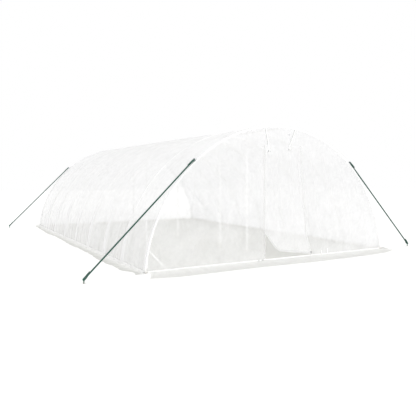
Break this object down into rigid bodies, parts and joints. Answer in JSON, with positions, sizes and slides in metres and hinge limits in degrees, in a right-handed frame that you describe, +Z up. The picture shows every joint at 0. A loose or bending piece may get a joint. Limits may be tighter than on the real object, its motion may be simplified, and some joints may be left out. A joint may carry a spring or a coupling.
{
  "type": "polytunnel greenhouse",
  "caption": "Walk-in polytunnel: round steel hoops on base rails under translucent film, with a zipped roll-up door, ground skirts and guy ropes.",
  "frame": {"origin": "on the ground, in the middle of the tunnel's width and length", "axes": "+X to the right across the tunnel as seen from the door, +Y from the door gable to the back gable, +Z up"},
  "size_m": [6.9802, 9.0066, 2.3033],
  "materials": {
    "coated_steel_tube": "white powder coat, satin",
    "greenhouse_film": "translucent woven film, soft sheen",
    "zip_tape": "white zip tape",
    "white_webbing": "white webbing",
    "dark_plastic": "moulded, matt",
    "guy_rope": "braided green rope",
    "zinc_plated_steel": "zinc plated",
    "green_coated_steel": "green coated, satin"
  },
  "bodies": {
    "root": {"back_base_bar": "coated_steel_tube", "back_gable": "greenhouse_film", "back_gable_braces": "coated_steel_tube", "back_left_guy_rope": "guy_rope", "back_right_guy_rope": "guy_rope", "back_skirt": "greenhouse_film", "door_panel": "greenhouse_film", "door_ties": "white_webbing", "door_zips": "zip_tape", "front_base_bar": "coated_steel_tube", "front_gable_braces": "coated_steel_tube", "front_gable_left": "greenhouse_film", "front_gable_over_door": "greenhouse_film", "front_gable_right": "greenhouse_film", "front_hem": "greenhouse_film", "front_left_guy_rope": "guy_rope", "front_right_guy_rope": "guy_rope", "front_skirt": "greenhouse_film", "guy_hooks": "zinc_plated_steel", "guy_pegs": "green_coated_steel", "hoop_1": "coated_steel_tube", "hoop_2": "coated_steel_tube", "hoop_3": "coated_steel_tube", "hoop_4": "coated_steel_tube", "hoop_5": "coated_steel_tube", "hoop_6": "coated_steel_tube", "hoop_7": "coated_steel_tube", "hoop_8": "coated_steel_tube", "hoop_9": "coated_steel_tube", "left_base_rail": "coated_steel_tube", "left_roof_cover": "greenhouse_film", "left_shoulder_cover": "greenhouse_film", "left_side_braces": "coated_steel_tube", "left_skirt": "greenhouse_film", "left_wall_cover": "greenhouse_film", "ridge_posts": "coated_steel_tube", "ridge_tube": "coated_steel_tube", "right_base_rail": "coated_steel_tube", "right_roof_cover": "greenhouse_film", "right_shoulder_cover": "greenhouse_film", "right_side_braces": "coated_steel_tube", "right_skirt": "greenhouse_film", "right_wall_cover": "greenhouse_film", "tie_toggles": "dark_plastic"}
  },
  "joints": []
}
